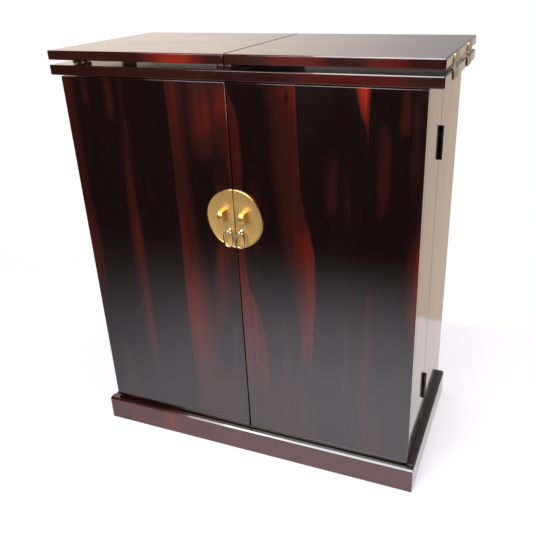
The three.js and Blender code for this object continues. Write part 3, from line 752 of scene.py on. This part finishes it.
def plain_board(node, finish_name):
    """A board whose outer edges are eased."""
    bm = merged_copy(node)
    edges = [edge for edge in sharp_edges(bm) if on_outline(edge, *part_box(node))]
    eased_board(node, bm, edges, bpy.context.scene.cabinet_detail.board_edge, finish_name)


def top_board(node, finish_name):
    """A leaf or the counter: a chamfer round its outer edges, softened at its corners."""
    detail = bpy.context.scene.cabinet_detail
    bm = merged_copy(node)
    edges = [edge for edge in sharp_edges(bm) if on_outline(edge, *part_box(node))]
    cut = bevel(bm, edges, detail.top_chamfer, 1)
    edges = list({edge for face in cut for edge in face.edges})
    eased_board(node, bm, edges, detail.chamfer_edge, finish_name, 2)


def inner_board(node, finish_name):
    """A board inside, with all its sharp edges eased."""
    bm = merged_copy(node)
    eased_board(node, bm, sharp_edges(bm), bpy.context.scene.cabinet_detail.inner_edge, finish_name, 2)


def plinth_board(node, finish_name, axis, outward):
    """A plinth board that faces outward, 1 or -1, along an axis, with a chamfer along its top there."""
    detail = bpy.context.scene.cabinet_detail
    bm = merged_copy(node)
    low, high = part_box(node)
    face = high[axis] if outward > 0 else low[axis]
    top = [edge for edge in bm.edges if lies_at(edge, 2, high.z) and lies_at(edge, axis, face)]
    bevel(bm, top, detail.plinth_chamfer, 1)
    eased_board(node, bm, sharp_edges(bm), detail.board_edge * 0.7, finish_name)


class CABINET_OT_outer_boards(bpy.types.Operator):
    """Build the lacquered boards of the plinth, case, doors, counter and leaves"""

    bl_idname = "cabinet.outer_boards"
    bl_label = "Lacquered Boards"

    def execute(self, context):
        plinth_board("plinth_front", "plinth_veneer", 1, -1)
        for side, sign in SIDES.items():
            plinth_board(f"plinth_{side}", "return_veneer", 0, sign)
            for part, finish_name in SIDED_OUTER_BOARDS.items():
                plain_board(f"{side}_{part}", finish_name)
            top_board(f"{side}_leaf", "leaf_veneer")
        top_board("counter_top", "counter_veneer")
        for node, finish_name in OUTER_BOARDS.items():
            plain_board(node, finish_name)
        return {"FINISHED"}


class CABINET_OT_inner_boards(bpy.types.Operator):
    """Build the satin shelves, rails and bottle cradles inside"""

    bl_idname = "cabinet.inner_boards"
    bl_label = "Shelves, Rails and Cradles"

    def execute(self, context):
        for node, finish_name in INNER_BOARDS.items():
            inner_board(node, finish_name)
        for side in SIDES:
            for part in SIDED_INNER_BOARDS:
                inner_board(f"{side}_{part}", "satin_crosswise")
        return {"FINISHED"}


# ---------------------------------------------------------------- the lock plate and its furniture
NAIL_INSET = 6.5 * MM  # from the plate's edge and from the seam
STUD_CORNER = 3.5 * MM
STUD_CROWN = 1.6 * MM
SLOT_WIDTH = 7 * MM
SLOT_HEIGHT = 13 * MM
SLOT_FORWARD = 1 * MM  # from the middle of the stud's depth
FOOT_LIP = 0.3 * MM  # how far a post's foot reaches past its ball
BALL_BORE = 2.8 * MM  # radius; it clears the ring's bent wire
RING_SQUARENESS = 2.3  # 2 is an ellipse
OVERSHOOT = 1 * MM  # how far a cutter runs past what it cuts


def plate_frame(side):
    """The matrix of the lock plate: X to the right, Y up and Z out of the doors, on the plate's back."""
    low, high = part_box(f"{side}_lock_plate")
    return basis((0, high.y, (low.z + high.z) / 2), (1, 0, 0), (0, 0, 1), (0, -1, 0))


def half_plate(side, sign):
    """Half of the round plate with its raised, rounded rim."""
    detail = bpy.context.scene.cabinet_detail
    low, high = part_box(f"{side}_lock_plate")
    radius = (high.z - low.z) / 2
    lift = high.y - low.y
    face = detail.plate_thickness
    bead = detail.rim_width / 2
    soft = 0.5 * MM
    profile = [(0, 0), (radius - soft, 0), (radius, soft)]
    profile += arc((radius - bead, lift - bead), bead, 0, 180, 10)
    profile += arc((radius - 2 * bead - soft, face + soft), soft, 0, -90, 3)
    profile += [(radius * 0.5, face), (0, face)]
    bm = turned(profile, 128)
    seam = low.x if sign > 0 else high.x
    cut = bmesh.ops.bisect_plane(
        bm, geom=bm.verts[:] + bm.edges[:] + bm.faces[:], dist=1e-7, plane_co=(seam, 0, 0),
        plane_no=(-sign, 0, 0), clear_outer=True)
    open_edges = [item for item in cut["geom_cut"] if isinstance(item, bmesh.types.BMEdge)]
    bmesh.ops.triangle_fill(bm, use_beauty=True, edges=open_edges)
    bmesh.ops.recalc_face_normals(bm, faces=bm.faces)
    straight = [edge for edge in sharp_edges(bm, 50) if lies_at(edge, 0, seam)]
    ease_edges(bm, straight, 0.3 * MM, 2)
    return moved(bm, plate_frame(side))


def nail_places(radius, sign):
    """Where the plate's nails are, from its middle: by the seam, above and below, and at the side."""
    inset = radius - NAIL_INSET
    beside, above = sign * NAIL_INSET, inset - 1 * MM
    return [(beside, above), (beside, -above), (sign * inset, 1.5 * MM)]


def nail_head(radius):
    """A low domed nail head, its middle on the plate's face."""
    height = radius * 0.62
    dome = [(across * radius, up * height) for across, up in arc((0, 0), 1, 0, 75, 5)]
    return turned([(0, -0.3 * MM), (radius * 0.96, -0.3 * MM), *dome, (0, height)], 20)


class CABINET_OT_lock_plates(bpy.types.Operator):
    """Build the two halves of the round lock plate, with their nails"""

    bl_idname = "cabinet.lock_plates"
    bl_label = "Lock Plate"

    def execute(self, context):
        detail = context.scene.cabinet_detail
        for side, sign in SIDES.items():
            node = f"{side}_lock_plate"
            finished(f"{side}_half_plate", half_plate(side, sign), "plate_brass", node)
            low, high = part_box(node)
            heads = []
            for across, up in nail_places((high.z - low.z) / 2, sign):
                place = plate_frame(side) @ Matrix.Translation((across, up, detail.plate_thickness))
                heads.append(moved(nail_head(detail.nail_radius), place))
            finished(f"{side}_plate_nails", gathered(heads), "stud_brass", node, stands_in=False)
        return {"FINISHED"}


def stud_blank(low, high):
    """The stud's block, its front gently crowned from top to bottom and its corners rounded."""
    middle, half = (low.z + high.z) / 2, (high.z - low.z) / 2
    straight = half - STUD_CORNER
    radius = (straight**2 + STUD_CROWN**2) / (2 * STUD_CROWN)
    tilt = math.degrees(math.asin(straight / radius))
    front = arc((low.y + radius, 0), radius, 180 - tilt, 180 + tilt, 12)
    top = arc((low.y + STUD_CROWN + STUD_CORNER * 0.9, straight), STUD_CORNER, 170 - tilt, 90, 5)
    top[-1] = (top[-1][0], half)
    outline = [(high.y, half), *reversed(top), *front]
    outline += [(y, -z) for y, z in reversed(outline[: len(top) + 1])]
    bm = drawn_out([(low.x, y, middle + z) for y, z in outline], (high.x - low.x, 0, 0))
    ease_edges(bm, sharp_edges(bm, 50), 0.5 * MM)
    return bm


def slot_cutter(low, high):
    """A bar with round ends that cuts the stud's slot from side to side."""
    middle = (low + high) / 2 - Vector((0, SLOT_FORWARD, 0))
    straight = (SLOT_HEIGHT - SLOT_WIDTH) / 2
    outline = arc((0, straight), SLOT_WIDTH / 2, 0, 180, 10)
    outline += arc((0, -straight), SLOT_WIDTH / 2, 180, 360, 10)
    points = [(low.x - OVERSHOOT, middle.y + y, middle.z + z) for y, z in outline]
    return drawn_out(points, (high.x - low.x + 2 * OVERSHOOT, 0, 0))


class CABINET_OT_lock_studs(bpy.types.Operator):
    """Build the two studs that a lock bar slides through"""

    bl_idname = "cabinet.lock_studs"
    bl_label = "Lock Studs"

    def execute(self, context):
        for side in SIDES:
            node = f"{side}_lock_stud"
            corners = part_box(node)
            stud = carve(stud_blank(*corners), cuts=[slot_cutter(*corners)])
            finished(f"{side}_stud", stud, "stud_brass", node)
        return {"FINISHED"}


def post_shape(foot, ball, reach):
    """A pull's post: a dished foot, a short neck and a ball, turned about Z from its back."""
    neck = ball / 2
    start = math.degrees(math.asin(neck / ball)) - 90
    profile = [(0, 0), (foot - 0.3 * MM, 0), (foot, 0.3 * MM), (foot, 1.0 * MM), (foot - 0.4 * MM, 1.4 * MM)]
    profile += [(neck + 1.4 * MM, 1.6 * MM), (neck + 0.3 * MM, 2.3 * MM)]
    profile += arc((0, reach - ball), ball, start, 90, 20)
    profile[-1] = (0, reach)
    return turned(profile, 48)


def ball_post(node, axis):
    """A post with a bore through its ball from side to side, for the ring."""
    low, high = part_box(node)
    foot = (high.x - low.x) / 2
    ball = foot - FOOT_LIP
    on_door = basis((axis.x, high.y, axis.z), (1, 0, 0), (0, 0, 1), (0, -1, 0))
    end = ball + OVERSHOOT
    bore = turned([(0, -end), (BALL_BORE, -end), (BALL_BORE, end), (0, end)], 24)
    sideways = basis(axis, (0, 1, 0), (0, 0, 1), (1, 0, 0))
    return carve(moved(post_shape(foot, ball, high.y - low.y), on_door), cuts=[moved(bore, sideways)])


def oval_ring(node, sides=16, steps=72):
    """A round wire bent to a tall, slightly squared oval."""
    low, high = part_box(node)
    wire = (high.y - low.y) / 2
    half_width = (high.x - low.x) / 2 - wire
    half_height = (high.z - low.z) / 2 - wire
    bm = bmesh.new()
    section = bmesh.ops.create_circle(
        bm, cap_ends=False, radius=wire, segments=sides,
        matrix=Matrix.Translation((1, 0, 0)) @ Matrix.Rotation(math.pi / 2, 4, "X"))["verts"]
    spun(bm, section, list({edge for vert in section for edge in vert.link_edges}), steps)
    exponent = 2 / RING_SQUARENESS

    def middle(angle):
        c, s = math.cos(angle), math.sin(angle)
        return Vector((half_width * math.copysign(abs(c) ** exponent, c),
                       half_height * math.copysign(abs(s) ** exponent, s), 0))

    for vert in bm.verts:
        angle = math.atan2(vert.co.y, vert.co.x)
        out = math.hypot(vert.co.x, vert.co.y) - 1
        ahead = (middle(angle + 1e-3) - middle(angle - 1e-3)).normalized()
        vert.co = middle(angle) + out * Vector((ahead.y, -ahead.x, 0)) + Vector((0, 0, vert.co.z))
    return moved(bm, basis((low + high) / 2, (1, 0, 0), (0, 0, 1), (0, -1, 0)))


class CABINET_OT_ring_pulls(bpy.types.Operator):
    """Build the two ball posts and the oval rings that hang in them"""

    bl_idname = "cabinet.ring_pulls"
    bl_label = "Ring Pulls"

    def execute(self, context):
        for side in SIDES:
            post, ring = f"{side}_pull_post", f"{side}_pull_ring"
            axis = JOINT_PLACE[f"{side}_ring_lift"]
            finished(f"{side}_ball_post", ball_post(post, axis), "pale_brass", post)
            finished(f"{side}_oval_ring", oval_ring(ring), "pale_brass", ring)
        return {"FINISHED"}


# ---------------------------------------------------------------- hinges
KNUCKLES = 5
FIXED_KNUCKLES = (0, 2, 4)
MOVING_KNUCKLES = (1, 3)
KNUCKLE_GAP = 0.4 * MM
PIN_RADIUS = 1.75 * MM
PIN_HEAD = 3.1 * MM
BORE_RADIUS = 2.0 * MM
HINGE_PLATE = 2.0 * MM
DOOR_PLATE_FAR = 2.8 * MM  # from the door hinge's axis to its plates' far faces
LEAF_PLATE_GAP = 0.3 * MM  # between the leaf hinge's plates and the boards' ends


def knuckle_span(length, number):
    """Where along the barrel a knuckle starts and ends."""
    pitch = (length + KNUCKLE_GAP) / KNUCKLES
    low = -length / 2 + number * pitch
    return low, low + pitch - KNUCKLE_GAP


def knuckle(radius, low, high):
    """A short tube about Z with softened ends."""
    soft = 0.35 * MM
    return turned([(BORE_RADIUS, low), (radius - soft, low), (radius, low + soft), (radius, high - soft),
                   (radius - soft, high), (BORE_RADIUS, high)], 40, hollow=True)


def hinge_plate(length, reach, faces, barrel, corner, own):
    """The flat plate of a hinge half, reaching along -X, notched where the other half's knuckles turn."""
    end = length / 2
    clear = barrel + 0.5 * MM
    inner = -(BORE_RADIUS + 0.3 * MM)
    outline = [(-clear, -end)] if 0 not in own else []
    for number in range(KNUCKLES):
        low, high = knuckle_span(length, number)
        if number in own:
            outline += [(inner, low), (inner, high)]
            if number + 1 < KNUCKLES:
                outline.append((-clear, high))
        else:
            outline += [(-clear, low - (KNUCKLE_GAP if number else 0)), (-clear, high)]
            if number + 1 in own:
                outline += [(-clear, high + KNUCKLE_GAP)]
    outline += arc((-reach + corner, end - corner), corner, 90, 180, 6)
    outline += arc((-reach + corner, -end + corner), corner, 180, 270, 6)
    return drawn_out([(x, faces[0], z) for x, z in outline], (0, faces[1] - faces[0], 0))


def countersink(radius, depth):
    """The cutter of a screw's countersunk hole, opening at height 0 along Z."""
    mouth = radius + 0.15 * MM
    return turned([(0, -depth), (radius * 0.55, -depth), (mouth, 0.0), (mouth, 0.5 * MM), (0, 0.5 * MM)])


def screw_head(radius, sink):
    """A flat screw head with a straight slot, its top sink below height 0."""
    head = turned([(0, -1.2 * MM), (radius * 0.5, -1.2 * MM), (radius - 0.1 * MM, -sink - 0.1 * MM),
                   (radius - 0.2 * MM, -sink), (0, -sink)])
    x, y, floor = radius * 1.1, 0.38 * MM, -sink - 0.75 * MM
    corners = [(-x, -y, floor), (x, -y, floor), (x, y, floor), (-x, y, floor)]
    slot = drawn_out(corners, (0, 0, 0.5 * MM - floor))
    return carve(head, cuts=[slot])


def hinge_half(name, node, finish_name, shape, place, screws, outward):
    """One half of a butt hinge with its own knuckles, screw holes and screws.

    shape holds length, reach, faces, barrel, corner and own. screws are (x, z) places on the plate,
    and outward is which way along Y the screws' heads face."""
    size = bpy.context.scene.cabinet_detail.screw_radius
    tubes = [knuckle(shape["barrel"], *knuckle_span(shape["length"], number)) for number in shape["own"]]
    face = shape["faces"][1] if outward > 0 else shape["faces"][0]
    seats = [
        basis((x, face, z), (-outward, 0, 0), (0, 0, 1), (0, outward, 0))
        @ Matrix.Rotation(math.radians(25 + 70 * count), 4, "Z")
        for count, (x, z) in enumerate(screws)]
    holes = [moved(countersink(size, 1.4 * MM), seat) for seat in seats]
    bm = carve(hinge_plate(**shape), unions=tubes, cuts=holes)
    finished(name, moved(bm, place), finish_name, node, 30)
    heads = [moved(screw_head(size, 0.12 * MM), place @ seat) for seat in seats]
    finished(f"{name}_screws", gathered(heads), finish_name, node, 30, stands_in=False)


def hinge_pin(name, node, finish_name, length, place):
    """The pin, with a thin flat head at each end of the barrel."""
    end = length / 2
    shoulder = 0.2 * MM - end
    profile = [(0, -end), (PIN_HEAD, -end), (PIN_HEAD, shoulder), (PIN_RADIUS, shoulder)]
    profile += [(radius, -height) for radius, height in reversed(profile)]
    finished(name, moved(turned(profile), place), finish_name, node, stands_in=False)


class CABINET_OT_door_hinges(bpy.types.Operator):
    """Build the bronze butt hinges in the seams of the sides"""

    bl_idname = "cabinet.door_hinges"
    bl_label = "Door Hinges"

    def execute(self, context):
        near = DOOR_PLATE_FAR - HINGE_PLATE
        for side, sign in SIDES.items():
            axis = JOINT_PLACE[f"{side}_door_swing"]
            for level in ("upper", "lower"):
                label = f"{side}_door_hinge_{level}"
                fixed = f"{label}_case_plate"
                low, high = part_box(fixed)
                outer, inner = (high.x, low.x) if sign > 0 else (low.x, high.x)
                length, reach = high.z - low.z, abs(inner - axis.x)
                place = basis((axis.x, axis.y, (low.z + high.z) / 2), (sign, 0, 0), (0, 1, 0), (0, 0, sign))
                screws = [(-0.62 * reach, share * length) for share in (-0.36, 0.0, 0.36)]
                shared = {"length": length, "reach": reach, "barrel": abs(outer - axis.x), "corner": 0.5 * MM}
                hinge_half(f"{label}_case_half", fixed, "bronze", {
                    **shared, "faces": (near, DOOR_PLATE_FAR), "own": FIXED_KNUCKLES}, place, screws, -1)
                hinge_half(f"{label}_door_half", f"{label}_door_plate", "bronze", {
                    **shared, "faces": (-DOOR_PLATE_FAR, -near), "own": MOVING_KNUCKLES}, place, screws, 1)
                hinge_pin(f"{label}_pin", fixed, "bronze", length, place)
        return {"FINISHED"}


class CABINET_OT_leaf_hinges(bpy.types.Operator):
    """Build the pale brass flap hinges on the ends of the counter and leaves"""

    bl_idname = "cabinet.leaf_hinges"
    bl_label = "Leaf Hinges"

    def execute(self, context):
        board_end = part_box("counter_top")[1].x
        for side, sign in SIDES.items():
            axis = JOINT_PLACE[f"{side}_leaf_flip"]
            near = LEAF_PLATE_GAP - (abs(axis.x) - board_end)
            for end in ("front", "back"):
                label = f"{side}_leaf_hinge_{end}"
                fixed, moving = f"{label}_counter_plate", f"{label}_leaf_plate"
                low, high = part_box(fixed)
                length = high.y - low.y
                shared = {"length": length, "barrel": high.z - axis.z, "corner": 6 * MM,
                          "faces": (near, near + HINGE_PLATE)}
                origin = (axis.x, (low.y + high.y) / 2, axis.z)
                down = basis(origin, (0, 0, 1), (sign, 0, 0), (0, sign, 0))
                up = basis(origin, (0, 0, -1), (sign, 0, 0), (0, -sign, 0))
                for name, node, reach, own, place in (
                    ("counter_half", fixed, axis.z - low.z, FIXED_KNUCKLES, down),
                    ("leaf_half", moving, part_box(moving)[1].z - axis.z, MOVING_KNUCKLES, up),
                ):
                    screws = [(-0.63 * reach, share * length) for share in (-0.33, 0.33)]
                    hinge_half(f"{label}_{name}", node, "hinge_brass",
                               {**shared, "reach": reach, "own": own}, place, screws, 1)
                hinge_pin(f"{label}_pin", fixed, "hinge_brass", length, down)
        return {"FINISHED"}


# ---------------------------------------------------------------- the stage
# each soft light: its place, what it points at, its width and height, and its colour
LIGHTS = {
    "front_light": ((-0.40, -2.3, 1.5), (0, -0.2, 0.65), (2.2, 1.0), (1.0, 0.97, 0.92)),
    "edge_light": ((-0.5, -2.35, 2.35), (0, -0.2, 0.1), (1.75, 0.5), (0.86, 0.95, 1.0)),
    "top_light": ((0.35, -0.25, 2.6), (0.2, -0.2, 0), (1.8, 1.3), (1, 1, 1)),
}
WHITE = (1.0, 1.0, 1.0, 1)
SKY_LEFT = (0.92, 0.80, 0.71, 1)
SKY_RIGHT = (0.35, 0.32, 0.34, 1)
BELOW = (0.66, 0.53, 0.43, 1)
IN_FRONT = (0.016, 0.015, 0.017, 1)


def soft_light(name, watts):
    """One of the rectangular soft lights, which the camera doesn't see."""
    place, aim, size, tint = LIGHTS[name]
    light = bpy.data.lights.new(name, "AREA")
    light.shape = "RECTANGLE"
    light.size, light.size_y = size
    light.energy = watts
    light.color = tint
    made = bpy.data.objects.new(name, light)
    made.location = place
    made.rotation_euler = (Vector(aim) - Vector(place)).to_track_quat("-Z", "Y").to_euler()
    made.visible_camera = False
    bpy.context.scene.collection.objects.link(made)


def studio_world():
    """White to the camera; bright behind the cabinet and dark in front of it to everything else."""
    world = bpy.data.worlds.new("studio")
    bpy.context.scene.world = world
    world.use_nodes = True
    world.node_tree.nodes.clear()
    sky = NodeTree(world.node_tree)
    _, parts = sky.coordinates("Generated")
    above = sky.blend(sky.ease(parts["X"], -0.62, 0.0), SKY_LEFT, SKY_RIGHT)
    behind = sky.blend(sky.ease(parts["Z"], -0.04, 0.02), BELOW, above)
    around = sky.blend(sky.ease(parts["Y"], -0.05, 0.35), IN_FRONT, behind)
    to_camera = sky.node("ShaderNodeLightPath").outputs["Is Camera Ray"]
    shown = sky.blend(to_camera, around, WHITE)
    background = sky.node("ShaderNodeBackground", {"Color": shown}).outputs[0]
    sky.node("ShaderNodeOutputWorld", {"Surface": background})


def floor_material(tint):
    """A pale floor that fades out in front and to the left."""
    recipe = Recipe("pale_floor")
    _, parts = recipe.coordinates()
    front = recipe.ease(parts["Y"], -1.56, -0.32)
    back = recipe.ease(parts["Y"], 0.62, 0.66, 1.0, 0.0)
    from_left = recipe.ease(parts["X"], -1.3, 0.3, 0.12, 0.80)
    behind = recipe.ease(parts["Y"], -0.25, 0.25, 1.0, 0.68)
    shown = recipe.times(recipe.times(front, back), recipe.times(from_left, behind))
    return recipe.surface(
        Base_Color=(*tint, 1.0), Roughness=0.7, Emission_Color=(*tint, 1.0), Emission_Strength=0.35,
        Alpha=shown)


class CABINET_OT_stage(bpy.types.Operator):
    """Set up the pale floor, the soft lights and the camera"""

    bl_idname = "cabinet.stage"
    bl_label = "Stage"

    def execute(self, context):
        stage = context.scene.cabinet_stage
        bm = bmesh.new()
        bmesh.ops.create_grid(bm, x_segments=4, y_segments=4, size=2.4)
        mesh = bpy.data.meshes.new("floor")
        bm.to_mesh(mesh)
        bm.free()
        mesh.materials.append(floor_material(stage.floor_colour))
        floor = bpy.data.objects.new("floor", mesh)
        context.scene.collection.objects.link(floor)
        studio_world()
        for name in LIGHTS:
            soft_light(name, getattr(stage, name))
        camera = bpy.data.cameras.new("camera")
        camera.lens = stage.lens
        camera.sensor_width = 36
        camera.shift_x, camera.shift_y = stage.view_shift
        seen_from = bpy.data.objects.new("camera", camera)
        seen_from.location = stage.camera_place
        level = Euler((math.pi / 2 - stage.camera_tilt, 0, stage.camera_turn), "XYZ").to_matrix()
        lean = Matrix.Rotation(-stage.camera_roll, 3, "Z")
        seen_from.rotation_euler = (level @ lean).to_euler()
        context.scene.collection.objects.link(seen_from)
        context.scene.camera = seen_from
        context.scene.view_settings.view_transform = "Standard"
        context.scene.view_settings.look = "None"
        return {"FINISHED"}


# ---------------------------------------------------------------- panel and registration
BUILD_STEPS = (
    CABINET_OT_outer_boards,
    CABINET_OT_inner_boards,
    CABINET_OT_lock_plates,
    CABINET_OT_lock_studs,
    CABINET_OT_ring_pulls,
    CABINET_OT_door_hinges,
    CABINET_OT_leaf_hinges,
    CABINET_OT_stage,
)
SETTINGS = {"cabinet_finish": CabinetFinish, "cabinet_detail": CabinetDetail, "cabinet_stage": CabinetStage}


class CABINET_PT_panel(bpy.types.Panel):
    """Lists the cabinet's settings and its building steps"""

    bl_idname = "CABINET_PT_panel"
    bl_label = "Bar Cabinet"
    bl_space_type = "VIEW_3D"
    bl_region_type = "UI"
    bl_category = "Cabinet"

    def draw(self, context):
        for name, group in SETTINGS.items():
            box = self.layout.box()
            for prop in group.__annotations__:
                box.prop(getattr(context.scene, name), prop)
        for step in BUILD_STEPS:
            self.layout.operator(step.bl_idname)


CLASSES = (*SETTINGS.values(), *BUILD_STEPS, CABINET_PT_panel)


def register():
    for made in CLASSES:
        bpy.utils.register_class(made)
    for name, group in SETTINGS.items():
        setattr(bpy.types.Scene, name, bpy.props.PointerProperty(type=group))


def unregister():
    for name in SETTINGS:
        delattr(bpy.types.Scene, name)
    for made in reversed(CLASSES):
        bpy.utils.unregister_class(made)


def main():
    register()
    for step in BUILD_STEPS:
        operator = step.bl_idname.split(".")
        getattr(getattr(bpy.ops, operator[0]), operator[1])()


if __name__ == "__main__":
    main()
